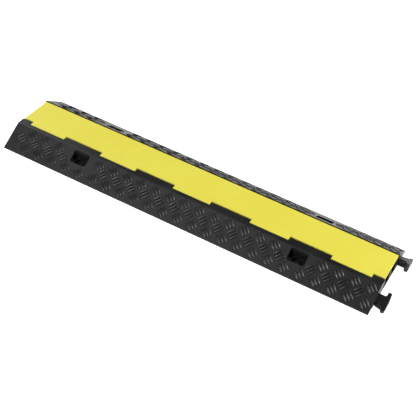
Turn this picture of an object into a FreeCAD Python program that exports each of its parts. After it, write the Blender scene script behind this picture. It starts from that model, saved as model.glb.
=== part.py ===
import FreeCAD, Part
import os

import Sketcher

# One module of a two-channel rubber cable protector ramp with a hinged lid.
# Millimetres. X runs along the ramp, towards its male connectors. Y runs across it, with the hinge on the -Y side.
# Z is up. The origin is on the ground, under the middle of the ramp's body.

Vector = FreeCAD.Vector

PARTS_FOLDER = "parts"
SIDES = (-1, 1)
TAB_COUNT = 5
PANEL_COUNT = 10
GROOVE_COUNT = 14

DIMENSIONS = {
    # the ramp's section
    "half_length": 500.0,
    "half_width": 125.0,
    "toe_height": 2.5,
    "front_knee": 64.5,
    "rear_knee": 56.0,
    "base_top": 44.5,
    "knee_radius": 6.0,
    "floor_top": 6.0,
    "ledge_top": 36.0,
    "channel_front": 36.0,
    "web_front": 2.0,
    "web_rear": 6.0,
    "channel_rear": 40.0,
    "ledge_rear": 52.6,
    "channel_radius": 3.0,
    # above everything, for cuts that are open at the top
    "cut_top": 50.0,
    # the hinge
    "axis_inset": 45.5,
    "axis_height": 40.0,
    "knuckle_rear": 40.3,
    "knuckle_radius": 4.4,
    "bore_radius": 2.55,
    "rod_radius": 2.5,
    "rod_half": 498.5,
    "tab_run_half": 420.0,
    "tab_half": 50.5,
    "recess_half": 54.0,
    "recess_reach": 9.2,
    "recess_radius": 7.0,
    # the lid
    "lid_half": 498.0,
    "lid_top": 45.0,
    "lid_front": 39.9,
    "lid_rear": 51.5,
    "lid_edge_radius": 1.2,
    "tab_front": 53.5,
    "tab_nose_height": 40.5,
    "tab_under_inset": 49.0,
    "tab_under_height": 36.4,
    "tab_root": 37.0,
    "barrel_radius": 5.0,
    "panel_depth": 3.0,
    "panel_half": 45.3,
    "panel_run_half": 443.7,
    "panel_front_far": 33.0,
    "panel_front_near": 4.0,
    "panel_rear_near": 8.0,
    "panel_rear_far": 37.0,
    # the anchor pockets
    "anchor_x": 300.0,
    "anchor_y": 80.5,
    "pocket_half": 22.5,
    "pocket_near": 67.0,
    "pocket_far": 94.3,
    "pocket_floor": 18.0,
    "pocket_radius": 4.5,
    "well_radius": 13.5,
    "well_floor": 12.0,
    "bolt_radius": 7.0,
    # the connectors, and the room that a socket gives them
    "head_near": 57.5,
    "head_far": 101.0,
    "head_near_height": 27.5,
    "head_far_height": 8.0,
    "neck_near": 68.0,
    "neck_far": 88.0,
    "neck_flare_far": 94.0,
    "neck_length": 18.0,
    "connector_length": 28.0,
    "connector_radius": 4.0,
    "neck_radius": 2.5,
    "socket_gap": 0.8,
    # the underside's grip grooves
    "groove_half": 2.0,
    "groove_depth": 2.0,
    "groove_run_half": 104.0,
}


def new_sheet(doc):
    """Writes the driving dimensions into a spreadsheet, each under its own alias."""
    sheet = doc.addObject("Spreadsheet::Sheet", "sheet")
    for row, (alias, size) in enumerate(DIMENSIONS.items(), start=1):
        sheet.set(f"A{row}", alias)
        sheet.set(f"B{row}", str(size))
        sheet.setAlias(f"B{row}", alias)
    doc.recompute()


# A place or a length is a tuple of the sheet's aliases that are added up, each with an optional minus sign.


def amount(*terms):
    """The number that the terms add up to."""
    return sum(-DIMENSIONS[term[1:]] if term.startswith("-") else DIMENSIONS[term] for term in terms)


def bind(feature, path, terms):
    """Ties a property to the sum of the terms on the sheet."""
    signed = [f"- sheet.{term[1:]}" if term.startswith("-") else f"+ sheet.{term}" for term in terms]
    feature.setExpression(path, "0 " + " ".join(signed))


def sided(side, *terms):
    """The same terms on the +Y side, or mirrored to the -Y side."""
    if side > 0:
        return terms
    return tuple(term[1:] if term.startswith("-") else f"-{term}" for term in terms)


def origin_part(body, role):
    """One of the body's own origin planes or axes."""
    return next(part for part in body.Origin.OriginFeatures if part.Role == role)


def new_body(doc, label):
    body = doc.addObject("PartDesign::Body", label)
    body.Label = label
    return body


def new_sketch(body, name, plane, height=()):
    """A sketch on one of the body's own origin planes, lifted along the plane's normal."""
    sketch = body.newObject("Sketcher::SketchObject", name)
    sketch.AttachmentSupport = [(origin_part(body, plane), "")]
    sketch.MapMode = "FlatFace"
    if height:
        bind(sketch, ".AttachmentOffset.Base.z", height)
    return sketch


def pin_point(sketch, shape, point, across, along):
    """Ties one point of a sketch to the sheet, measured from the sketch's origin."""
    for kind, axis, terms in (("DistanceX", -2, across), ("DistanceY", -1, along)):
        if terms:
            index = sketch.addConstraint(Sketcher.Constraint(kind, -1, 1, shape, point, amount(*terms)))
            bind(sketch, f"Constraints[{index}]", terms)
        else:
            sketch.addConstraint(Sketcher.Constraint("PointOnObject", shape, point, axis))


def draw_polygon(sketch, corners):
    """Draws a closed outline through the corners, each one tied to the sheet."""
    places = [Vector(amount(*across), amount(*along), 0) for across, along in corners]
    first = sketch.GeometryCount
    for index, place in enumerate(places):
        sketch.addGeometry(Part.LineSegment(place, places[(index + 1) % len(places)]), False)
    for index, (across, along) in enumerate(corners):
        following = first + (index + 1) % len(places)
        sketch.addConstraint(Sketcher.Constraint("Coincident", first + index, 2, following, 1))
        pin_point(sketch, first + index, 1, across, along)


def draw_rectangle(sketch, low, high):
    """Draws a rectangle between two opposite corners."""
    draw_polygon(sketch, [low, (high[0], low[1]), high, (low[0], high[1])])


def draw_circle(sketch, centre, radius):
    """Draws a circle whose centre and radius are tied to the sheet."""
    place = Vector(amount(*centre[0]), amount(*centre[1]), 0)
    shape = sketch.addGeometry(Part.Circle(place, Vector(0, 0, 1), amount(radius)), False)
    pin_point(sketch, shape, 3, *centre)
    index = sketch.addConstraint(Sketcher.Constraint("Radius", shape, amount(radius)))
    bind(sketch, f"Constraints[{index}]", (radius,))


def extrude(body, kind, name, sketch, length):
    """Pads or pockets a sketch along its plane's normal, and makes sure that the body has changed."""
    before = body.Shape.Volume if body.Tip else 0.0
    feature = body.newObject(f"PartDesign::{kind}", name)
    feature.Profile = sketch
    feature.Reversed = kind == "Pocket"
    bind(feature, "Length", length)
    body.Document.recompute()
    change = feature.Shape.Volume - before
    if change == 0 or (change > 0) != (kind == "Pad"):
        raise RuntimeError(f"{name} changes the volume by {change:.1f} mm3")
    return feature


def pattern(body, name, originals, axis, half_span, count):
    """Repeats features along one of the body's axes, from the first, at minus the half span, to the last."""
    row = body.newObject("PartDesign::LinearPattern", name)
    row.Originals = originals
    row.Direction = (origin_part(body, axis), [""])
    bind(row, "Length", (half_span, half_span))
    row.Occurrences = count
    body.Tip = row
    body.Document.recompute()
    return row


def fillet(body, name, pick, radius):
    """Rounds the edges of the body so far that the pick function accepts."""
    base = body.Tip
    edges = [f"Edge{number}" for number, edge in enumerate(base.Shape.Edges, start=1) if pick(edge.BoundBox)]
    if not edges:
        raise RuntimeError(f"{name} finds no edge")
    rounding = body.newObject("PartDesign::Fillet", name)
    rounding.Base = (base, edges)
    bind(rounding, "Radius", (radius,))
    body.Document.recompute()
    if rounding.Shape.isNull():
        raise RuntimeError(f"{name} has failed: {rounding.State}")
    return rounding


def is_at(value, place):
    return abs(value - place) < 0.01


def along_x(places):
    """Picks the edges that run along X through one of the (y, z) places."""

    def pick(box):
        straight = box.YLength < 0.01 and box.ZLength < 0.01
        return straight and any(is_at(box.YMin, y) and is_at(box.ZMin, z) for y, z in places)

    return pick


def upright(places):
    """Picks the upright edges that stand at one of the (x, y) places."""

    def pick(box):
        straight = box.XLength < 0.01 and box.YLength < 0.01
        return straight and any(is_at(box.XMin, x) and is_at(box.YMin, y) for x, y in places)

    return pick


def level(height):
    """Picks the edges that lie at one height."""

    def pick(box):
        return is_at(box.ZMin, height) and is_at(box.ZMax, height)

    return pick


def pad_ramp_section(body):
    """The long moulding: two ramps, the channel floor and web, the knuckle strip and the lid's ledges."""
    sketch = new_sketch(body, "section", "YZ_Plane", ("-half_length",))
    draw_polygon(
        sketch,
        [
            (("-half_width",), ()),
            (("-half_width",), ("toe_height",)),
            (("-front_knee",), ("base_top",)),
            (("-knuckle_rear",), ("base_top",)),
            (("-knuckle_rear",), ("ledge_top",)),
            (("-channel_front",), ("ledge_top",)),
            (("-channel_front",), ("floor_top",)),
            (("-web_front",), ("floor_top",)),
            (("-web_front",), ("ledge_top",)),
            (("web_rear",), ("ledge_top",)),
            (("web_rear",), ("floor_top",)),
            (("channel_rear",), ("floor_top",)),
            (("channel_rear",), ("ledge_top",)),
            (("ledge_rear",), ("ledge_top",)),
            (("ledge_rear",), ("base_top",)),
            (("rear_knee",), ("base_top",)),
            (("half_width",), ("toe_height",)),
            (("half_width",), ()),
        ],
    )
    extrude(body, "Pad", "section_pad", sketch, ("half_length", "half_length"))
    top = amount("base_top")
    knees = (amount("-front_knee"), amount("rear_knee"))
    fillet(body, "knees", along_x([(knee, top) for knee in knees]), "knee_radius")
    fillet(body, "knuckle_rounding", along_x([(-amount("knuckle_rear"), top)]), "knuckle_radius")
    walls = ("-channel_front", "-web_front", "web_rear", "channel_rear")
    corners = [(amount(wall), amount("floor_top")) for wall in walls]
    fillet(body, "channel_corners", along_x(corners), "channel_radius")


def cut_hinge(body):
    """The recesses that the lid's tabs turn in, and the bore for the rod."""
    sketch = new_sketch(body, "tab_recess", "YZ_Plane", ("-tab_run_half", "-recess_half"))
    draw_rectangle(
        sketch,
        (("-axis_inset", "-recess_reach"), ("axis_height", "-recess_reach")),
        (("-knuckle_rear",), ("cut_top",)),
    )
    recess = extrude(body, "Pocket", "tab_recess_cut", sketch, ("recess_half", "recess_half"))
    pattern(body, "tab_recesses", [recess], "X_Axis", "tab_run_half", TAB_COUNT)
    heel = (-amount("axis_inset", "recess_reach"), amount("axis_height", "-recess_reach"))
    fillet(body, "recess_heels", along_x([heel]), "recess_radius")
    bore = new_sketch(body, "rod_bore", "YZ_Plane", ("-half_length",))
    draw_circle(bore, (("-axis_inset",), ("axis_height",)), "bore_radius")
    extrude(body, "Pocket", "rod_bore_cut", bore, ("half_length", "half_length"))


def cut_anchors(body):
    """Four pockets in the slopes, each with a round well and a through hole for a ground anchor."""
    centres = [(end, side) for end in SIDES for side in SIDES]
    pockets = new_sketch(body, "anchor_pockets", "XY_Plane", ("pocket_floor",))
    wells = new_sketch(body, "anchor_wells", "XY_Plane", ("well_floor",))
    holes = new_sketch(body, "bolt_holes", "XY_Plane")
    for end, side in centres:
        draw_rectangle(
            pockets,
            ((*sided(end, "anchor_x"), "-pocket_half"), sided(side, "pocket_near")),
            ((*sided(end, "anchor_x"), "pocket_half"), sided(side, "pocket_far")),
        )
        centre = (sided(end, "anchor_x"), sided(side, "anchor_y"))
        draw_circle(wells, centre, "well_radius")
        draw_circle(holes, centre, "bolt_radius")
    extrude(body, "Pocket", "anchor_pocket_cut", pockets, ("cut_top",))
    corners = [
        (end * amount("anchor_x") + across * amount("pocket_half"), side * amount(reach))
        for end, side in centres
        for across in SIDES
        for reach in ("pocket_near", "pocket_far")
    ]
    fillet(body, "anchor_pocket_corners", upright(corners), "pocket_radius")
    extrude(body, "Pocket", "anchor_well_cut", wells, ("pocket_floor", "-well_floor"))
    extrude(body, "Pocket", "bolt_hole_cut", holes, ("well_floor",))


def cut_grooves(body):
    """Shallow grip grooves along the underside."""
    sketch = new_sketch(body, "grip_groove", "XY_Plane")
    draw_rectangle(
        sketch,
        (("-half_length",), ("-groove_run_half", "-groove_half")),
        (("half_length",), ("-groove_run_half", "groove_half")),
    )
    groove = extrude(body, "Pocket", "grip_groove_cut", sketch, ("groove_depth",))
    pattern(body, "grip_grooves", [groove], "Y_Axis", "groove_run_half", GROOVE_COUNT)


def make_connectors(doc, label, gap):
    """A pair of T-shaped blocks with sloping tops that stand out along +X from the body's own origin.

    The gap terms are added all round, for the space that the blocks need in a neighbour.
    """
    shrink = tuple(f"-{term}" for term in gap)
    body = new_body(doc, label)
    wedges = new_sketch(body, f"{label}_wedge", "YZ_Plane")
    notches = new_sketch(body, f"{label}_notch", "XY_Plane")
    for side in SIDES:
        near = sided(side, "head_near", *shrink)
        far = sided(side, "head_far", *gap)
        draw_polygon(
            wedges,
            [
                (near, ()),
                (far, ()),
                (far, ("head_far_height", *gap)),
                (near, ("head_near_height", *gap)),
            ],
        )
        draw_rectangle(
            notches,
            ((), sided(side, "head_near", *shrink, *shrink)),
            (("neck_length", *shrink), sided(side, "neck_near", *shrink)),
        )
        beyond = sided(side, "head_far", "connector_length")
        draw_polygon(
            notches,
            [
                ((), sided(side, "neck_far", *gap)),
                (("neck_length", *shrink), sided(side, "neck_flare_far", *gap)),
                (("neck_length", *shrink), beyond),
                ((), beyond),
            ],
        )
    extrude(body, "Pad", f"{label}_pad", wedges, ("connector_length", *gap))
    extrude(body, "Pocket", f"{label}_notch_cut", notches, ("cut_top",))
    reaches = [amount("head_near", *shrink), amount("head_far", *gap)]
    ends = [amount("connector_length", *gap), amount("neck_length", *shrink)]
    corners = [(x, side * y) for side in SIDES for x in ends for y in reaches]
    fillet(body, f"{label}_corners", upright(corners), "connector_radius")
    roots = [amount("neck_near", *shrink), amount("neck_flare_far", *gap)]
    inner = [(amount("neck_length", *shrink), side * y) for side in SIDES for y in roots]
    fillet(body, f"{label}_neck_corners", upright(inner), "neck_radius")
    return body


def make_ramp_base(doc):
    """The rubber moulding, with male connectors at its +X end and female sockets at its -X end."""
    body = new_body(doc, "ramp_moulding")
    pad_ramp_section(body)
    cut_hinge(body)
    cut_anchors(body)
    cut_grooves(body)
    connectors = make_connectors(doc, "connectors", ())
    bind(connectors, ".Placement.Base.x", ("half_length",))
    sockets = make_connectors(doc, "sockets", ("socket_gap",))
    bind(sockets, ".Placement.Base.x", ("-half_length",))
    joined = doc.addObject("Part::Fuse", "ramp_with_connectors")
    joined.Base = body
    joined.Tool = connectors
    base = doc.addObject("Part::Cut", "ramp_base")
    base.Base = joined
    base.Tool = sockets
    base.Label = "ramp_base"
    return base


def make_lid(doc):
    """The lid: a plate with five hinge tabs along its front edge and shallow panels between its under-ribs."""
    body = new_body(doc, "lid")
    plate = new_sketch(body, "plate", "YZ_Plane", ("-lid_half",))
    draw_rectangle(plate, (("-lid_front",), ("ledge_top",)), (("lid_rear",), ("lid_top",)))
    extrude(body, "Pad", "plate_pad", plate, ("lid_half", "lid_half"))
    tab = new_sketch(body, "tab", "YZ_Plane", ("-tab_run_half", "-tab_half"))
    draw_polygon(
        tab,
        [
            (("-tab_root",), ("lid_top",)),
            (("-tab_front",), ("lid_top",)),
            (("-tab_front",), ("tab_nose_height",)),
            (("-tab_under_inset",), ("tab_under_height",)),
            (("-axis_inset",), ("ledge_top",)),
            (("-tab_root",), ("ledge_top",)),
        ],
    )
    barrel = new_sketch(body, "barrel", "YZ_Plane", ("-tab_run_half", "-tab_half"))
    draw_circle(barrel, (("-axis_inset",), ("axis_height",)), "barrel_radius")
    tab_pads = [
        extrude(body, "Pad", "tab_pad", tab, ("tab_half", "tab_half")),
        extrude(body, "Pad", "barrel_pad", barrel, ("tab_half", "tab_half")),
    ]
    pattern(body, "tabs", tab_pads, "X_Axis", "tab_run_half", TAB_COUNT)
    fillet(body, "lid_edges", level(amount("lid_top")), "lid_edge_radius")
    bore = new_sketch(body, "lid_bore", "YZ_Plane", ("-lid_half",))
    draw_circle(bore, (("-axis_inset",), ("axis_height",)), "bore_radius")
    extrude(body, "Pocket", "lid_bore_cut", bore, ("lid_half", "lid_half"))
    panels = new_sketch(body, "panels", "XY_Plane", ("ledge_top",))
    for low, high in (("-panel_front_far", "-panel_front_near"), ("panel_rear_near", "panel_rear_far")):
        draw_rectangle(
            panels,
            (("-panel_run_half", "-panel_half"), (low,)),
            (("-panel_run_half", "panel_half"), (high,)),
        )
    cut = extrude(body, "Pocket", "panel_cut", panels, ("panel_depth",))
    pattern(body, "panel_row", [cut], "X_Axis", "panel_run_half", PANEL_COUNT)
    return body


def make_hinge_rod(doc):
    """A plain round steel rod that lies in the knuckles along the hinge axis."""
    rod = doc.addObject("Part::Cylinder", "hinge_rod")
    bind(rod, "Radius", ("rod_radius",))
    bind(rod, "Height", ("rod_half", "rod_half"))
    rod.Placement.Rotation = FreeCAD.Rotation(Vector(0, 1, 0), 90)
    bind(rod, ".Placement.Base.x", ("-rod_half",))
    bind(rod, ".Placement.Base.y", ("-axis_inset",))
    bind(rod, ".Placement.Base.z", ("axis_height",))
    rod.Label = "hinge_rod"
    return rod


def main():
    doc = FreeCAD.newDocument("cable_ramp")
    new_sheet(doc)
    pieces = [make_ramp_base(doc), make_lid(doc), make_hinge_rod(doc)]
    doc.recompute()
    for feature in doc.Objects:
        if "Invalid" in feature.State or "Error" in feature.State:
            raise RuntimeError(f"{feature.Label} has failed: {feature.State}")
    for piece in pieces:
        if piece.Shape.isNull() or not piece.Shape.isValid():
            raise RuntimeError(f"{piece.Label} has no valid shape")
    os.makedirs(PARTS_FOLDER, exist_ok=True)
    for piece in pieces:
        piece.Shape.exportStep(os.path.join(PARTS_FOLDER, f"{piece.Label}.step"))
        box = piece.Shape.BoundBox
        solids = len(piece.Shape.Solids)
        print(f"{piece.Label}: {solids} solid, {piece.Shape.Volume / 1000:.1f} cm3, {box}")


main()
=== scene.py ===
"""Looks of a rubber cable protector ramp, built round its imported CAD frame.

The frame gives three solids: the black rubber base, the yellow lid and the steel
hinge rod. This script rounds their edges, adds the raised tread of both slopes,
gives each piece its material, and sets up a plain studio and a camera.
"""

import logging
import math
from dataclasses import dataclass, field
from enum import Enum
from typing import ClassVar

import bpy
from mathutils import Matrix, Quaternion, Vector


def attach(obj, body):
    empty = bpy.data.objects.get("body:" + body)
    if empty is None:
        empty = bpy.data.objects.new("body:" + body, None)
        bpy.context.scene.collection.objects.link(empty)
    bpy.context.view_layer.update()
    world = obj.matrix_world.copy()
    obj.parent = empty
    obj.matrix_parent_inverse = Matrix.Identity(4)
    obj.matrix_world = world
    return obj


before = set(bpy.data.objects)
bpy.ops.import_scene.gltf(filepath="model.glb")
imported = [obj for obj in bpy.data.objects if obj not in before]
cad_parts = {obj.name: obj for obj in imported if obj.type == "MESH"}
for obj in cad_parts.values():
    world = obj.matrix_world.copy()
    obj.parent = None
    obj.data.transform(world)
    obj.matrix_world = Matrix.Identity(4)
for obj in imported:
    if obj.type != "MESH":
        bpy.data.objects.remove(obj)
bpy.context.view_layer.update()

MM = 0.001
LOG = logging.getLogger("cable_ramp")

Rgb = tuple[float, float, float]
Range = tuple[float, float]

# the Mix node's sockets when it mixes colours
MIX_SHARE, MIX_FIRST, MIX_SECOND, MIX_RESULT = 0, 6, 7, 2


class Side(Enum):
    """Which long side of the ramp a slope is on; the value is the sign of its y."""

    FRONT = -1
    REAR = 1


class Socket(Enum):
    """Kinds of group socket that the effects use."""

    NUMBER = "NodeSocketFloat"
    VECTOR = "NodeSocketVector"


# --------------------------------------------------------------------------- nodes


class NodeSheet:
    """A node tree with short ways to add, set and link its nodes."""

    def __init__(self, tree: bpy.types.NodeTree) -> None:
        """Take the tree and empty it."""
        self.tree = tree
        self.tree.nodes.clear()

    def feed(self, socket: bpy.types.NodeSocket, value: object) -> None:
        """Link a socket into another one, or set it to a plain value.

        Args:
            socket: the input to fill.
            value: an output socket, a number, or a tuple for a vector or colour.
        """
        if isinstance(value, bpy.types.NodeSocket):
            self.tree.links.new(value, socket)
        elif isinstance(value, tuple) and len(value) < len(socket.default_value):
            socket.default_value = (*value, 1.0)
        else:
            socket.default_value = value

    def add(self, kind: str, inputs: dict[str, object] | None = None,
            **settings: object) -> bpy.types.Node:
        """Add one node.

        Args:
            kind: the node's Blender type.
            inputs: values or sockets by input name.
            settings: properties of the node itself.

        Returns:
            The new node.
        """
        node = self.tree.nodes.new(kind)
        for name, value in settings.items():
            setattr(node, name, value)
        for name, value in (inputs or {}).items():
            self.feed(node.inputs[name], value)
        return node

    def calc(self, operation: str, *terms: object, clamp: bool = False) -> bpy.types.NodeSocket:
        """Add a Math node and return its result.

        Args:
            operation: the Math node's operation.
            terms: one to three numbers or sockets.
            clamp: keep the result between 0 and 1.

        Returns:
            The node's output socket.
        """
        node = self.add("ShaderNodeMath", operation=operation, use_clamp=clamp)
        for socket, term in zip(node.inputs, terms):
            self.feed(socket, term)
        return node.outputs[0]

    def spread(self, value: object, low: float, high: float, to_low: float = 0.0,
               to_high: float = 1.0) -> bpy.types.NodeSocket:
        """Map a range of numbers onto another, with soft ends.

        Args:
            value: the number or socket to map.
            low: the value that gives to_low.
            high: the value that gives to_high.
            to_low: the result at the low end.
            to_high: the result at the high end.

        Returns:
            The mapped number's socket.
        """
        inputs = {"Value": value, "From Min": low, "From Max": high,
                  "To Min": to_low, "To Max": to_high}
        node = self.add("ShaderNodeMapRange", inputs, interpolation_type="SMOOTHSTEP")
        return node.outputs["Result"]

    def blend(self, share: object, first: object, second: object) -> bpy.types.NodeSocket:
        """Mix two colours.

        Args:
            share: how much of the second colour, from 0 to 1.
            first: the colour at 0.
            second: the colour at 1.

        Returns:
            The mixed colour's socket.
        """
        node = self.tree.nodes.new("ShaderNodeMix")
        node.data_type = "RGBA"
        self.feed(node.inputs[MIX_SHARE], share)
        self.feed(node.inputs[MIX_FIRST], first)
        self.feed(node.inputs[MIX_SECOND], second)
        return node.outputs[MIX_RESULT]

    def layer(self, share: object, first: object, second: object) -> bpy.types.NodeSocket:
        """Mix two shaders.

        Args:
            share: how much of the second shader, from 0 to 1.
            first: the shader at 0.
            second: the shader at 1.

        Returns:
            The mixed shader's socket.
        """
        node = self.add("ShaderNodeMixShader", {"Fac": share})
        self.feed(node.inputs[1], first)
        self.feed(node.inputs[2], second)
        return node.outputs["Shader"]

    def noise(self, place: object, size: object, detail: float = 3.0,
              rough: float = 0.5) -> bpy.types.NodeSocket:
        """Add a noise pattern.

        Args:
            place: the coordinates, in metres.
            size: the size of one blotch in metres, a number or a socket.
            detail: how many finer layers it has.
            rough: how strong the finer layers are.

        Returns:
            The pattern's socket, from 0 to 1.
        """
        linked = isinstance(size, bpy.types.NodeSocket)
        scale = self.calc("DIVIDE", 1.0, size) if linked else 1.0 / size
        inputs = {"Vector": place, "Scale": scale, "Detail": detail, "Roughness": rough}
        return self.add("ShaderNodeTexNoise", inputs).outputs["Fac"]

    def stretched(self, place: object, sizes: tuple[float, float, float],
                  turn: float = 0.0) -> bpy.types.NodeSocket:
        """Turn coordinates about Z and scale them, so that a pattern becomes streaks.

        Args:
            place: the coordinates.
            sizes: the scale along each turned axis.
            turn: the turn about Z in degrees.

        Returns:
            The new coordinates' socket.
        """
        inputs = {"Vector": place, "Rotation": (0.0, 0.0, math.radians(turn)), "Scale": sizes}
        return self.add("ShaderNodeMapping", inputs, vector_type="POINT").outputs["Vector"]

    def bumped(self, height: object, depth: float, strength: float) -> bpy.types.NodeSocket:
        """Turn heights into a bumped normal.

        Args:
            height: the heights' socket, from about 0 to 1.
            depth: what a height of 1 stands for, in metres.
            strength: how much of the bump shows, from 0 to 1.

        Returns:
            The normal's socket.
        """
        inputs = {"Height": height, "Strength": strength, "Distance": depth}
        return self.add("ShaderNodeBump", inputs).outputs["Normal"]


class Effect:
    """A shared effect: one shader node group, built once and placed in many materials."""

    title: ClassVar[str] = ""
    takes: ClassVar[dict[str, Socket]] = {}
    gives: ClassVar[dict[str, Socket]] = {}

    def draw(self, sheet: NodeSheet, given: bpy.types.Node) -> dict[str, bpy.types.NodeSocket]:
        """Draw the group's nodes.

        Args:
            sheet: the group's own node sheet.
            given: the node that brings the group's inputs.

        Returns:
            The socket that feeds each output, by name.
        """
        raise NotImplementedError

    def group(self) -> bpy.types.NodeTree:
        """Find the group, or build it the first time.

        Returns:
            The shader node group.
        """
        tree = bpy.data.node_groups.get(self.title)
        if tree is None:
            tree = bpy.data.node_groups.new(self.title, "ShaderNodeTree")
            for name, kind in self.takes.items():
                tree.interface.new_socket(name=name, in_out="INPUT", socket_type=kind.value)
            for name, kind in self.gives.items():
                tree.interface.new_socket(name=name, in_out="OUTPUT", socket_type=kind.value)
            sheet = NodeSheet(tree)
            given = sheet.add("NodeGroupInput")
            sheet.add("NodeGroupOutput", self.draw(sheet, given))
        return tree

    def place(self, sheet: NodeSheet, **values: object) -> dict[str, bpy.types.NodeSocket]:
        """Put the group into a material.

        Args:
            sheet: the material's node sheet.
            values: a value or socket for each input, by its name with _ for a space.

        Returns:
            The group's outputs by name.
        """
        node = sheet.add("ShaderNodeGroup", node_tree=self.group())
        for name, value in values.items():
            sheet.feed(node.inputs[name.replace("_", " ")], value)
        return {socket.name: socket for socket in node.outputs}


class MouldGrain(Effect):
    """The fine pitted skin that a mould leaves, and slow patches of gloss and colour."""

    title = "mould_grain"
    takes = {"Vector": Socket.VECTOR, "Grain Size": Socket.NUMBER, "Patch Size": Socket.NUMBER}
    gives = {"Height": Socket.NUMBER, "Patches": Socket.NUMBER}
    coarser: ClassVar[float] = 6.0
    pit_share: ClassVar[float] = 0.6
    swell_share: ClassVar[float] = 0.4
    pit_range: ClassVar[Range] = (0.32, 0.44)
    patch_range: ClassVar[Range] = (0.3, 0.7)

    def draw(self, sheet: NodeSheet, given: bpy.types.Node) -> dict[str, bpy.types.NodeSocket]:
        """Draw shallow pits over a coarser swell, and broad patches.

        Args:
            sheet: the group's own node sheet.
            given: the node that brings the group's inputs.

        Returns:
            The socket that feeds each output, by name.
        """
        place, size = given.outputs["Vector"], given.outputs["Grain Size"]
        grain = sheet.noise(place, size, detail=2.0, rough=0.6)
        coarse = sheet.noise(place, sheet.calc("MULTIPLY", size, self.coarser), detail=2.0)
        pits = sheet.calc("MULTIPLY", sheet.spread(grain, *self.pit_range), self.pit_share)
        height = sheet.calc("ADD", pits, sheet.calc("MULTIPLY", coarse, self.swell_share))
        patches = sheet.noise(place, given.outputs["Patch Size"], detail=4.0, rough=0.55)
        return {"Height": height, "Patches": sheet.spread(patches, *self.patch_range)}


class EdgeWearAndSheen(Effect):
    """A thin broken band along every corner. On the rubber it is partly worn edge and partly
    painted sheen; on the lid it is a painted highlight.
    """

    title = "edge_wear_and_sheen"
    takes = {"Vector": Socket.VECTOR, "Radius": Socket.NUMBER, "Patch Size": Socket.NUMBER}
    gives = {"Mask": Socket.NUMBER}
    samples: ClassVar[int] = 6
    band_range: ClassVar[Range] = (0.01, 0.16)
    patch_range: ClassVar[Range] = (0.3, 0.6)
    least_worn: ClassVar[float] = 0.35

    def draw(self, sheet: NodeSheet, given: bpy.types.Node) -> dict[str, bpy.types.NodeSocket]:
        """Compare the rounded normal with the true one and break the band up with noise.

        Args:
            sheet: the group's own node sheet.
            given: the node that brings the group's inputs.

        Returns:
            The socket that feeds each output, by name.
        """
        radius = given.outputs["Radius"]
        rounded = sheet.add("ShaderNodeBevel", {"Radius": radius}, samples=self.samples)
        true = sheet.add("ShaderNodeNewGeometry")
        match = sheet.add("ShaderNodeVectorMath", operation="DOT_PRODUCT")
        sheet.feed(match.inputs[0], rounded.outputs["Normal"])
        sheet.feed(match.inputs[1], true.outputs["Normal"])
        turn = sheet.calc("SUBTRACT", 1.0, match.outputs["Value"])
        band = sheet.spread(turn, *self.band_range)
        patches = sheet.noise(given.outputs["Vector"], given.outputs["Patch Size"], detail=3.0)
        broken = sheet.spread(patches, *self.patch_range, to_low=self.least_worn)
        return {"Mask": sheet.calc("MULTIPLY", band, broken)}


class SettledDust(Effect):
    """Pale dust that lies on surfaces that face up, thicker in broad patches."""

    title = "settled_dust"
    takes = {"Vector": Socket.VECTOR, "Patch Size": Socket.NUMBER}
    gives = {"Mask": Socket.NUMBER}
    upward_range: ClassVar[Range] = (0.55, 1.0)
    broad_range: ClassVar[Range] = (0.35, 0.75)
    speck_range: ClassVar[Range] = (0.35, 0.7)
    speck_size: ClassVar[float] = 1.1 * MM

    def draw(self, sheet: NodeSheet, given: bpy.types.Node) -> dict[str, bpy.types.NodeSocket]:
        """Mask the faces that look up at rest and break them up at two sizes.

        Args:
            sheet: the group's own node sheet.
            given: the node that brings the group's inputs.

        Returns:
            The socket that feeds each output, by name.
        """
        normal = sheet.add("ShaderNodeTexCoord").outputs["Normal"]
        parts = sheet.add("ShaderNodeSeparateXYZ", {"Vector": normal})
        upward = sheet.spread(parts.outputs["Z"], *self.upward_range)
        place, size = given.outputs["Vector"], given.outputs["Patch Size"]
        broad = sheet.spread(sheet.noise(place, size, detail=5.0, rough=0.6), *self.broad_range)
        specks = sheet.spread(sheet.noise(place, self.speck_size, detail=2.0), *self.speck_range)
        return {"Mask": sheet.calc("MULTIPLY", upward, sheet.calc("MULTIPLY", broad, specks))}


class Scuffs(Effect):
    """Hair-thin scuffs that run in two slanting directions."""

    title = "scuffs"
    takes = {"Vector": Socket.VECTOR, "Sparsity": Socket.NUMBER}
    gives = {"Mask": Socket.NUMBER}
    # each set's turn in degrees, then its scale along and across the turned direction
    sets: ClassVar[tuple[tuple[float, float, float], ...]] = (
        (24.0, 7.0, 420.0), (-51.0, 9.0, 520.0))
    sharpness: ClassVar[float] = 14.0

    def draw(self, sheet: NodeSheet, given: bpy.types.Node) -> dict[str, bpy.types.NodeSocket]:
        """Lay two sets of stretched noise over each other and keep only their peaks.

        Args:
            sheet: the group's own node sheet.
            given: the node that brings the group's inputs.

        Returns:
            The socket that feeds each output, by name.
        """
        masks = []
        for turn, along, across in self.sets:
            place = sheet.stretched(given.outputs["Vector"], (along, across, along), turn)
            streaks = sheet.noise(place, 1.0, detail=3.0, rough=0.55)
            over = sheet.calc("SUBTRACT", streaks, given.outputs["Sparsity"])
            masks.append(sheet.calc("MULTIPLY", over, self.sharpness, clamp=True))
        return {"Mask": sheet.calc("MAXIMUM", *masks)}


# ------------------------------------------------------------------------ finishes


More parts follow.
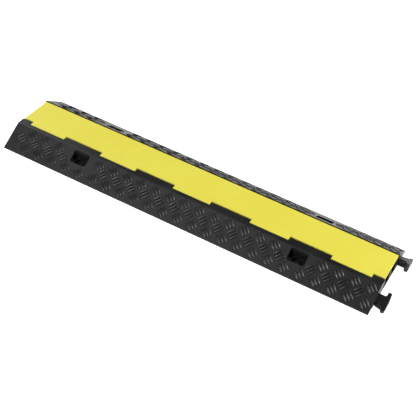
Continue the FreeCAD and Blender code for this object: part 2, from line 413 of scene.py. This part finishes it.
@dataclass(frozen=True)
class Finish:
    """What all finishes share: a name, and a material made from its own nodes."""

    name: str

    def paint(self, sheet: NodeSheet, place: bpy.types.NodeSocket) -> bpy.types.NodeSocket:
        """Draw the finish's nodes.

        Args:
            sheet: the material's node sheet.
            place: object coordinates in metres.

        Returns:
            The shader's output socket.
        """
        raise NotImplementedError

    def material(self) -> bpy.types.Material:
        """Make the material.

        Returns:
            The new material, with its surface linked.
        """
        made = bpy.data.materials.new(self.name)
        made.use_nodes = True
        sheet = NodeSheet(made.node_tree)
        place = sheet.add("ShaderNodeTexCoord").outputs["Object"]
        sheet.add("ShaderNodeOutputMaterial", {"Surface": self.paint(sheet, place)})
        return made


@dataclass(frozen=True)
class RubberFinish(Finish):
    """Moulded black rubber, slightly shiny, with a little dust, and paler edges that are partly
    worn and partly a painted sheen.
    """

    deep: Rgb = (0.0036, 0.0037, 0.0039)
    faded: Rgb = (0.0066, 0.0066, 0.0070)
    # paler grey of worn tread crests and edges; along the edges it is partly a painted sheen
    rubbed_and_sheen: Rgb = (0.026, 0.026, 0.027)
    dusty: Rgb = (0.085, 0.082, 0.076)
    patch_size: float = 70 * MM
    crest_wear: float = 0.3
    wear_and_sheen_share: float = 0.7
    wear_and_sheen_radius: float = 0.9 * MM
    wear_and_sheen_patch: float = 9 * MM
    dust_share: float = 0.05
    dust_patch: float = 45 * MM
    roughness: Range = (0.34, 0.43)
    crest_polish: float = 0.03
    specular: float = 0.5
    grain_size: float = 0.9 * MM
    grain_depth: float = 0.10 * MM
    grain_strength: float = 0.45

    def paint(self, sheet: NodeSheet, place: bpy.types.NodeSocket) -> bpy.types.NodeSocket:
        """Draw patchy black, paler on worn tread crests and on edges that are partly worn and
        partly painted sheen, with pitted skin.

        Args:
            sheet: the material's node sheet.
            place: object coordinates in metres.

        Returns:
            The shader's output socket.
        """
        grain = MouldGrain().place(
            sheet, Vector=place, Grain_Size=self.grain_size, Patch_Size=self.patch_size)
        # the band along the edges: partly worn, partly a painted sheen
        wear_and_sheen = EdgeWearAndSheen().place(
            sheet, Vector=place, Radius=self.wear_and_sheen_radius, Patch_Size=self.wear_and_sheen_patch)["Mask"]
        dust = SettledDust().place(sheet, Vector=place, Patch_Size=self.dust_patch)["Mask"]
        dust = sheet.calc("MULTIPLY", dust, self.dust_share)
        crest = sheet.add("ShaderNodeAttribute", attribute_name="crest").outputs["Fac"]
        worn = sheet.calc("MAXIMUM", sheet.calc("MULTIPLY", crest, self.crest_wear), wear_and_sheen)
        colour = sheet.blend(grain["Patches"], self.deep, self.faded)
        # paler where worn, and along the edges also a painted sheen
        colour = sheet.blend(sheet.calc("MULTIPLY", worn, self.wear_and_sheen_share), colour, self.rubbed_and_sheen)
        colour = sheet.blend(dust, colour, self.dusty)
        rough = sheet.spread(grain["Patches"], 0.0, 1.0, *self.roughness)
        rough = sheet.calc("SUBTRACT", rough, sheet.calc("MULTIPLY", crest, self.crest_polish))
        rough = sheet.calc("ADD", rough, dust)
        shader = sheet.add("ShaderNodeBsdfPrincipled", {
            "Base Color": colour, "Roughness": rough, "Specular IOR Level": self.specular,
            "Normal": sheet.bumped(grain["Height"], self.grain_depth, self.grain_strength)})
        return shader.outputs["BSDF"]


@dataclass(frozen=True)
class LidFinish(Finish):
    """Smooth yellow PVC, satin, with a painted highlight along its edges, and faint scuffs."""

    body: Rgb = (0.665, 0.605, 0.072)
    warm: Rgb = (0.650, 0.580, 0.055)
    # painted highlight: the pale yellow laid along the rounded edges, as if they caught the light
    edge: Rgb = (0.860, 0.800, 0.190)
    scuffed: Rgb = (0.640, 0.590, 0.110)
    grime: Rgb = (0.300, 0.270, 0.080)
    patch_size: float = 120 * MM
    # the next three set the painted edge highlight's strength, width and break-up
    edge_highlight_share: float = 0.9
    edge_radius: float = 2.0 * MM
    edge_highlight_patch: float = 30 * MM
    scuff_share: float = 0.35
    scuff_sparsity: float = 0.68
    scuff_roughness: float = 0.14
    scuff_depth: float = 0.5
    grime_share: float = 0.05
    grime_patch: float = 30 * MM
    roughness: Range = (0.40, 0.47)
    specular: float = 0.45
    grain_size: float = 0.7 * MM
    grain_depth: float = 0.06 * MM
    grain_strength: float = 0.3

    def paint(self, sheet: NodeSheet, place: bpy.types.NodeSocket) -> bpy.types.NodeSocket:
        """Draw slow tone changes, a painted highlight on the edges, scuffs, a trace of grime and a
        satin skin.

        Args:
            sheet: the material's node sheet.
            place: object coordinates in metres.

        Returns:
            The shader's output socket.
        """
        grain = MouldGrain().place(
            sheet, Vector=place, Grain_Size=self.grain_size, Patch_Size=self.patch_size)
        # mask of the painted edge highlight
        edges = EdgeWearAndSheen().place(
            sheet, Vector=place, Radius=self.edge_radius, Patch_Size=self.edge_highlight_patch)["Mask"]
        scuffs = Scuffs().place(sheet, Vector=place, Sparsity=self.scuff_sparsity)["Mask"]
        grime = SettledDust().place(sheet, Vector=place, Patch_Size=self.grime_patch)["Mask"]
        colour = sheet.blend(grain["Patches"], self.body, self.warm)
        # the last layer is the painted edge highlight
        for mask, share, tint in ((grime, self.grime_share, self.grime),
                                  (scuffs, self.scuff_share, self.scuffed),
                                  (edges, self.edge_highlight_share, self.edge)):
            colour = sheet.blend(sheet.calc("MULTIPLY", mask, share), colour, tint)
        rough = sheet.spread(grain["Patches"], 0.0, 1.0, *self.roughness)
        rough = sheet.calc("ADD", rough, sheet.calc("MULTIPLY", scuffs, self.scuff_roughness))
        dents = sheet.calc("MULTIPLY", scuffs, self.scuff_depth)
        height = sheet.calc("SUBTRACT", grain["Height"], dents)
        shader = sheet.add("ShaderNodeBsdfPrincipled", {
            "Base Color": colour, "Roughness": rough, "Specular IOR Level": self.specular,
            "Normal": sheet.bumped(height, self.grain_depth, self.grain_strength)})
        return shader.outputs["BSDF"]


@dataclass(frozen=True)
class RodFinish(Finish):
    """Drawn and blackened steel rod: fine lines along it, a few darker patches."""

    bright: Rgb = (0.130, 0.130, 0.135)
    dull: Rgb = (0.070, 0.069, 0.068)
    line_scales: tuple[float, float, float] = (12.0, 2600.0, 2600.0)
    line_depth: float = 0.04 * MM
    line_strength: float = 0.25
    grain_size: float = 1.0 * MM
    patch_size: float = 25 * MM
    roughness: Range = (0.24, 0.42)

    def paint(self, sheet: NodeSheet, place: bpy.types.NodeSocket) -> bpy.types.NodeSocket:
        """Draw lines along X in colour, roughness and bump, over slow dull patches.

        Args:
            sheet: the material's node sheet.
            place: object coordinates in metres.

        Returns:
            The shader's output socket.
        """
        lines = sheet.noise(sheet.stretched(place, self.line_scales), 1.0, detail=2.0)
        patches = MouldGrain().place(
            sheet, Vector=place, Grain_Size=self.grain_size, Patch_Size=self.patch_size)["Patches"]
        # the mean of both masks
        worn = sheet.calc("MULTIPLY", sheet.calc("ADD", lines, patches), 0.5)
        shader = sheet.add("ShaderNodeBsdfPrincipled", {
            "Base Color": sheet.blend(worn, self.bright, self.dull), "Metallic": 1.0,
            "Roughness": sheet.spread(worn, 0.0, 1.0, *self.roughness),
            "Normal": sheet.bumped(lines, self.line_depth, self.line_strength)})
        return shader.outputs["BSDF"]


@dataclass(frozen=True)
class FloorFinish(Finish):
    """Plain white studio floor, lit from within, and clear to whoever looks from below it.

    The glow is what the camera sees, and the shine is what the floor throws on the ramp.
    """

    white: Rgb = (0.85, 0.85, 0.85)
    light: Rgb = (1.0, 1.0, 1.0)
    glow: float = 1.0
    shine: float = 0.3

    def paint(self, sheet: NodeSheet, place: bpy.types.NodeSocket) -> bpy.types.NodeSocket:
        """Draw a matt white that glows more where it is seen directly, clear from below.

        Args:
            sheet: the material's node sheet.
            place: object coordinates in metres.

        Returns:
            The shader's output socket.
        """
        plain = {"Base Color": self.white, "Roughness": 1.0, "Specular IOR Level": 0.0,
                 "Emission Color": self.light}
        kind = "ShaderNodeBsdfPrincipled"
        around = sheet.add(kind, {**plain, "Emission Strength": self.shine}).outputs["BSDF"]
        direct = sheet.add(kind, {**plain, "Emission Strength": self.glow}).outputs["BSDF"]
        clear = sheet.add("ShaderNodeBsdfTransparent").outputs["BSDF"]
        seen = sheet.add("ShaderNodeLightPath").outputs["Is Camera Ray"]
        below = sheet.add("ShaderNodeNewGeometry").outputs["Backfacing"]
        return sheet.layer(below, sheet.layer(seen, around, direct), clear)


# ------------------------------------------------------------------------- shaping

# what counts as one point, as flat and as a sharp edge
WELD_GAP = 0.01 * MM
FLAT_ANGLE = math.radians(0.5)
SHARP_ANGLE = math.radians(35.0)
# how fine a rounded edge is, and how much its large neighbours lead the shading
ROUNDING_STEPS = 2
FACE_WEIGHT = 60


def smooth_shading() -> bpy.types.NodeTree:
    """Geometry nodes that shade every face smooth and clear the sharp edges.

    Returns:
        The node group, for a Nodes modifier.
    """
    tree = bpy.data.node_groups.get("smooth_shading")
    if tree is None:
        tree = bpy.data.node_groups.new("smooth_shading", "GeometryNodeTree")
        for way in ("INPUT", "OUTPUT"):
            tree.interface.new_socket(
                name="Geometry", in_out=way, socket_type="NodeSocketGeometry")
        sheet = NodeSheet(tree)
        shape = sheet.add("NodeGroupInput").outputs["Geometry"]
        for domain in ("FACE", "EDGE"):
            node = sheet.add("GeometryNodeSetShadeSmooth", {"Geometry": shape}, domain=domain)
            shape = node.outputs["Geometry"]
        sheet.add("NodeGroupOutput", {"Geometry": shape})
    return tree


def round_edges(piece: bpy.types.Object, radius: float, merge_flats: bool = True) -> None:
    """Clean up a carried-over solid and round its sharp edges, with modifiers only.

    Args:
        piece: the object whose mesh came with the frame.
        radius: how far the rounding reaches from each edge, in metres.
        merge_flats: whether to join flat faces first. A face with many holes doesn't stand it.
    """
    weld = piece.modifiers.new("weld", "WELD")
    weld.merge_threshold = WELD_GAP
    if merge_flats:
        flatten = piece.modifiers.new("flatten", "DECIMATE")
        flatten.decimate_type = "DISSOLVE"
        flatten.angle_limit = FLAT_ANGLE
    rounding = piece.modifiers.new("rounding", "BEVEL")
    rounding.width = radius
    rounding.segments = ROUNDING_STEPS
    rounding.limit_method = "ANGLE"
    rounding.angle_limit = SHARP_ANGLE
    rounding.miter_outer = "MITER_ARC"
    smooth = piece.modifiers.new("smooth", "NODES")
    smooth.node_group = smooth_shading()
    even = piece.modifiers.new("even_shading", "WEIGHTED_NORMAL")
    even.weight = FACE_WEIGHT


def coat(piece: bpy.types.Object, material: bpy.types.Material) -> None:
    """Give a piece one material in every slot it has.

    Args:
        piece: the object to dress.
        material: the material for all of it.
    """
    if not piece.data.materials:
        piece.data.materials.append(material)
    for spot in piece.material_slots:
        spot.material = material


@dataclass(frozen=True)
class Lug:
    """One raised bar of the tread: a closed dome, lens-shaped in plan. Sizes in millimetres.

    The foot is sunk into the slope, and the bow bends the bar sideways. The point power sharpens
    the bar's two ends, and hipped is how far the ends slope in with the sides, from 0 to 1. The
    profile gives each ring's share of the foot's width and of the height.
    """

    length: float = 26.0
    width: float = 6.2
    height: float = 2.9
    sunk: float = 0.6
    bow: float = -0.6
    hipped: float = 0.85
    point_power: float = 1.35
    points: int = 28
    profile: tuple[tuple[float, float], ...] = (
        (1.00, 0.00), (0.94, 0.24), (0.84, 0.48), (0.70, 0.70),
        (0.52, 0.86), (0.32, 0.96), (0.12, 1.00))

    def rings(self) -> list[list[tuple[float, float, float]]]:
        """The bar's rings of points from its foot to its crest.

        Returns:
            One list of (along, across, height) points per ring, in millimetres.
        """
        half_length, half_width = self.length / 2, self.width / 2
        made = []
        for share, rise in ((1.0, None), *self.profile):
            reach = half_length * (1.0 - (1.0 - share) * self.hipped)
            level = -self.sunk if rise is None else rise * self.height
            ring = []
            for i in range(self.points):
                turn = 2 * math.pi * i / self.points
                along = reach * math.cos(turn)
                bulge = abs(math.sin(turn)) ** self.point_power
                across = half_width * share * math.copysign(bulge, math.sin(turn))
                across += self.bow * (1.0 - (along / half_length) ** 2)
                ring.append((along, across, level))
            made.append(ring)
        return made


@dataclass(frozen=True)
class Slope:
    """One slope of the ramp: a plane from the toe up to the knee. Sizes in millimetres."""

    side: Side
    knee_y: float
    toe_y: float = 125.0
    toe_z: float = 2.5
    knee_z: float = 44.5

    @property
    def length(self) -> float:
        """The slope's length from toe to knee."""
        return math.hypot(self.toe_y - self.knee_y, self.knee_z - self.toe_z)

    def point(self, x: float, up: float, out: float) -> Vector:
        """A point over the slope.

        Args:
            x: distance along the ramp.
            up: distance up the slope from the toe.
            out: distance out from the surface.

        Returns:
            The point in metres.
        """
        c = (self.toe_y - self.knee_y) / self.length
        s = (self.knee_z - self.toe_z) / self.length
        y = self.toe_y - up * c + out * s
        z = self.toe_z + up * s + out * c
        return Vector((x, self.side.value * y, z)) * MM

    def distance_up(self, y: float) -> float:
        """How far up the slope a given distance from the ramp's middle line is."""
        return (self.toe_y - y) * self.length / (self.toe_y - self.knee_y)


@dataclass(frozen=True)
class Row:
    """One row of bar groups: how far below the knee it is, its phase along the ramp, its lean."""

    down: float
    phase: float
    lean: float


@dataclass
class Tread:
    """The raised bars of one slope, in rows of groups that lean by turns. Sizes in millimetres.

    Each group has a few parallel bars, and the groups of a row stand one pitch apart.
    """

    slope: Slope
    lug: Lug = field(default_factory=Lug)
    rows: tuple[Row, ...] = (
        Row(15.3, -1.8, -46.0), Row(35.2, 16.6, 48.0), Row(54.9, -2.4, -45.0))
    pitch: float = 40.4
    bars: int = 3
    spacing: float = 7.8
    end_x: float = 499.5
    pocket_x: float = 300.0
    pocket_half: float = 22.5
    pocket_y: tuple[float, float] = (67.0, 94.3)
    margin: float = 0.8

    def clear(self, centres: list[tuple[float, float]], lean: float) -> bool:
        """Whether a group of bars fits on the slope, clear of its ends and pockets.

        Args:
            centres: each bar's centre, along the ramp and up the slope.
            lean: the bars' direction in degrees.

        Returns:
            True if the whole group fits.
        """
        half, turn = self.lug.length / 2, math.radians(lean)
        dx, du = abs(half * math.cos(turn)), abs(half * math.sin(turn))
        left, right = min(x for x, _ in centres) - dx, max(x for x, _ in centres) + dx
        low, high = min(u for _, u in centres) - du, max(u for _, u in centres) + du
        if max(abs(left), abs(right)) > self.end_x:
            return False
        reach = self.pocket_half + self.margin
        pockets = (-self.pocket_x, self.pocket_x)
        beside = all(right < x - reach or left > x + reach for x in pockets)
        below = high < self.slope.distance_up(self.pocket_y[1]) - self.margin
        above = low > self.slope.distance_up(self.pocket_y[0]) + self.margin
        return beside or below or above

    def places(self) -> list[tuple[float, float, float]]:
        """Where every bar goes.

        Returns:
            (x, distance up the slope, lean in degrees) of each bar.
        """
        found = []
        count = math.ceil(self.end_x / self.pitch) + 1
        steps = [(i - (self.bars - 1) / 2) * self.spacing for i in range(self.bars)]
        for row in self.rows:
            up, turn = self.slope.length - row.down, math.radians(row.lean)
            for k in range(-count, count + 1):
                x = row.phase + k * self.pitch
                centres = [(x - step * math.sin(turn), up + step * math.cos(turn))
                           for step in steps]
                if self.clear(centres, row.lean):
                    found += [(*centre, row.lean) for centre in centres]
        return found

    def build(self) -> bpy.types.Object:
        """Make the bars of this slope as one mesh of closed solids.

        Returns:
            The new object, not yet riding on a body.
        """
        vertices, faces, crest = [], [], []
        rings, n = self.lug.rings(), self.lug.points
        flipped = self.slope.side is Side.REAR
        for x, up, lean in self.places():
            c, s = math.cos(math.radians(lean)), math.sin(math.radians(lean))
            first = len(vertices)
            for along, across, level in (point for ring in rings for point in ring):
                turned_x, turned_up = along * c - across * s, along * s + across * c
                vertices.append(self.slope.point(x + turned_x, up + turned_up, level))
                crest.append(max(0.0, level / self.lug.height))
            made = [tuple(range(first + n - 1, first - 1, -1))]
            for low in range(first, len(vertices) - n, n):
                high = low + n
                made += [(low + i, low + (i + 1) % n, high + (i + 1) % n, high + i)
                         for i in range(n)]
            made.append(tuple(range(len(vertices) - n, len(vertices))))
            faces += [tuple(reversed(f)) for f in made] if flipped else made
        name = f"tread_{self.slope.side.name.lower()}"
        mesh = bpy.data.meshes.new(name)
        mesh.from_pydata(vertices, [], faces)
        mesh.shade_smooth()
        attribute = mesh.attributes.new("crest", "FLOAT", "POINT")
        attribute.data.foreach_set("value", crest)
        piece = bpy.data.objects.new(name, mesh)
        bpy.context.scene.collection.objects.link(piece)
        return piece


# --------------------------------------------------------------------- assemblies


@dataclass
class RampBase:
    """The black rubber moulding with the raised tread on both of its slopes.

    The knees are where the slopes end, in millimetres from the ramp's middle line.
    """

    node: str = "ramp_base"
    body: str = "base"
    slot: str = "black_rubber"
    edge_radius: float = 0.7 * MM
    front_knee: float = 64.5
    rear_knee: float = 56.0
    finish: RubberFinish = RubberFinish("moulded_rubber")
    treads: list[bpy.types.Object] = field(default_factory=list)

    def build(self) -> None:
        """Round the moulding's edges and make the tread of both slopes."""
        round_edges(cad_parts[self.node], self.edge_radius)
        for side, knee_y in ((Side.FRONT, self.front_knee), (Side.REAR, self.rear_knee)):
            piece = Tread(Slope(side, knee_y)).build()
            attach(piece, self.body)
            self.treads.append(piece)
            LOG.info("%s: %d faces", piece.name, len(piece.data.polygons))

    def dress(self) -> None:
        """Give the moulding and its tread one rubber."""
        rubber = self.finish.material()
        coat(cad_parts[self.node], rubber)
        for piece in self.treads:
            coat(piece, rubber)
        LOG.info("%s: dressed in %s", self.node, rubber.name)


@dataclass
class Lid:
    """The yellow hinged lid."""

    node: str = "lid"
    edge_radius: float = 0.35 * MM
    finish: LidFinish = LidFinish("satin_yellow_pvc")

    def build(self) -> None:
        """Round the lid's edges."""
        round_edges(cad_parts[self.node], self.edge_radius, merge_flats=False)

    def dress(self) -> None:
        """Give the lid its yellow."""
        coat(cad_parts[self.node], self.finish.material())
        LOG.info("%s: dressed in %s", self.node, self.finish.name)


@dataclass
class HingeRod:
    """The steel rod that runs through the knuckles of base and lid."""

    node: str = "hinge_rod"
    edge_radius: float = 0.4 * MM
    finish: RodFinish = RodFinish("drawn_steel")

    def build(self) -> None:
        """Round the rod's two ends."""
        round_edges(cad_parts[self.node], self.edge_radius)

    def dress(self) -> None:
        """Give the rod its steel."""
        coat(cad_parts[self.node], self.finish.material())
        LOG.info("%s: dressed in %s", self.node, self.finish.name)


@dataclass(frozen=True)
class Lamp:
    """One round soft lamp that shines on the ramp."""

    name: str
    place: tuple[float, float, float]
    size: float
    power: float

    def hang(self) -> None:
        """Add the lamp to the scene, turned to the origin."""
        data = bpy.data.lights.new(self.name, "AREA")
        data.shape = "DISK"
        data.size = self.size
        data.energy = self.power
        lamp = bpy.data.objects.new(self.name, data)
        lamp.location = self.place
        lamp.rotation_mode = "QUATERNION"
        lamp.rotation_quaternion = (-Vector(self.place)).to_track_quat("-Z", "Y")
        bpy.context.scene.collection.objects.link(lamp)


@dataclass
class Studio:
    """A plain white floor, an even white sky, a few soft lamps, and the camera."""

    floor_half: float = 6.0
    floor_drop: float = 0.2 * MM
    sky: float = 0.08
    backdrop: float = 1.0
    lamps: tuple[Lamp, ...] = (
        Lamp("right_lamp", place=(2.9, 1.4, 2.6), size=1.8, power=185.0),
        Lamp("back_left_lamp", place=(-3.1, 1.3, 2.1), size=1.6, power=75.0),
        Lamp("front_lamp", place=(-1.3, -3.1, 2.1), size=1.4, power=70.0),
        Lamp("fill_lamp", place=(-1.3, -1.6, 3.4), size=2.4, power=12.0),
    )
    target: tuple[float, float, float] = (0.0278, -0.0028, -0.0156)
    azimuth: float = 23.181
    elevation: float = 40.897
    roll: float = 8.51
    distance: float = 2.3601
    lens: float = 82.82
    sensor: float = 36.0

    def floor(self) -> None:
        """Lay the floor just under the ramp."""
        h, z = self.floor_half, -self.floor_drop
        mesh = bpy.data.meshes.new("floor")
        mesh.from_pydata([(-h, -h, z), (h, -h, z), (h, h, z), (-h, h, z)], [], [(0, 1, 2, 3)])
        piece = bpy.data.objects.new("floor", mesh)
        bpy.context.scene.collection.objects.link(piece)
        coat(piece, FloorFinish("studio_floor").material())

    def lights(self) -> None:
        """Set an even white sky and the soft lamps."""
        world = bpy.data.worlds.new("studio")
        world.use_nodes = True
        sheet = NodeSheet(world.node_tree)
        seen = sheet.add("ShaderNodeLightPath").outputs["Is Camera Ray"]
        strength = sheet.spread(seen, 0.0, 1.0, self.sky, self.backdrop)
        sky = sheet.add("ShaderNodeBackground", {"Color": (1.0, 1.0, 1.0), "Strength": strength})
        sheet.add("ShaderNodeOutputWorld", {"Surface": sky.outputs["Background"]})
        bpy.context.scene.world = world
        for lamp in self.lamps:
            lamp.hang()
        bpy.context.scene.view_settings.view_transform = "Standard"

    def camera(self) -> None:
        """Place the camera above the front right and roll it a little."""
        az, el = math.radians(self.azimuth), math.radians(self.elevation)
        back = Vector((math.sin(az) * math.cos(el), -math.cos(az) * math.cos(el), math.sin(el)))
        data = bpy.data.cameras.new("camera")
        data.sensor_width = self.sensor
        data.lens = self.lens
        eye = bpy.data.objects.new("camera", data)
        eye.location = Vector(self.target) + back * self.distance
        eye.rotation_mode = "QUATERNION"
        turned = Quaternion((0.0, 0.0, 1.0), math.radians(self.roll))
        eye.rotation_quaternion = (-back).to_track_quat("-Z", "Y") @ turned
        bpy.context.scene.collection.objects.link(eye)
        bpy.context.scene.camera = eye

    def build(self) -> None:
        """Make the floor, the lights and the camera."""
        self.floor()
        self.lights()
        self.camera()
        LOG.info("studio: floor, sky, %d lamps and camera", len(self.lamps))


def main() -> None:
    """Build and dress every sub-assembly, then the studio."""
    logging.basicConfig(level=logging.INFO, format="%(name)s %(message)s")
    for assembly in (RampBase(), Lid(), HingeRod()):
        assembly.build()
        assembly.dress()
    Studio().build()


if __name__ == "__main__":
    main()
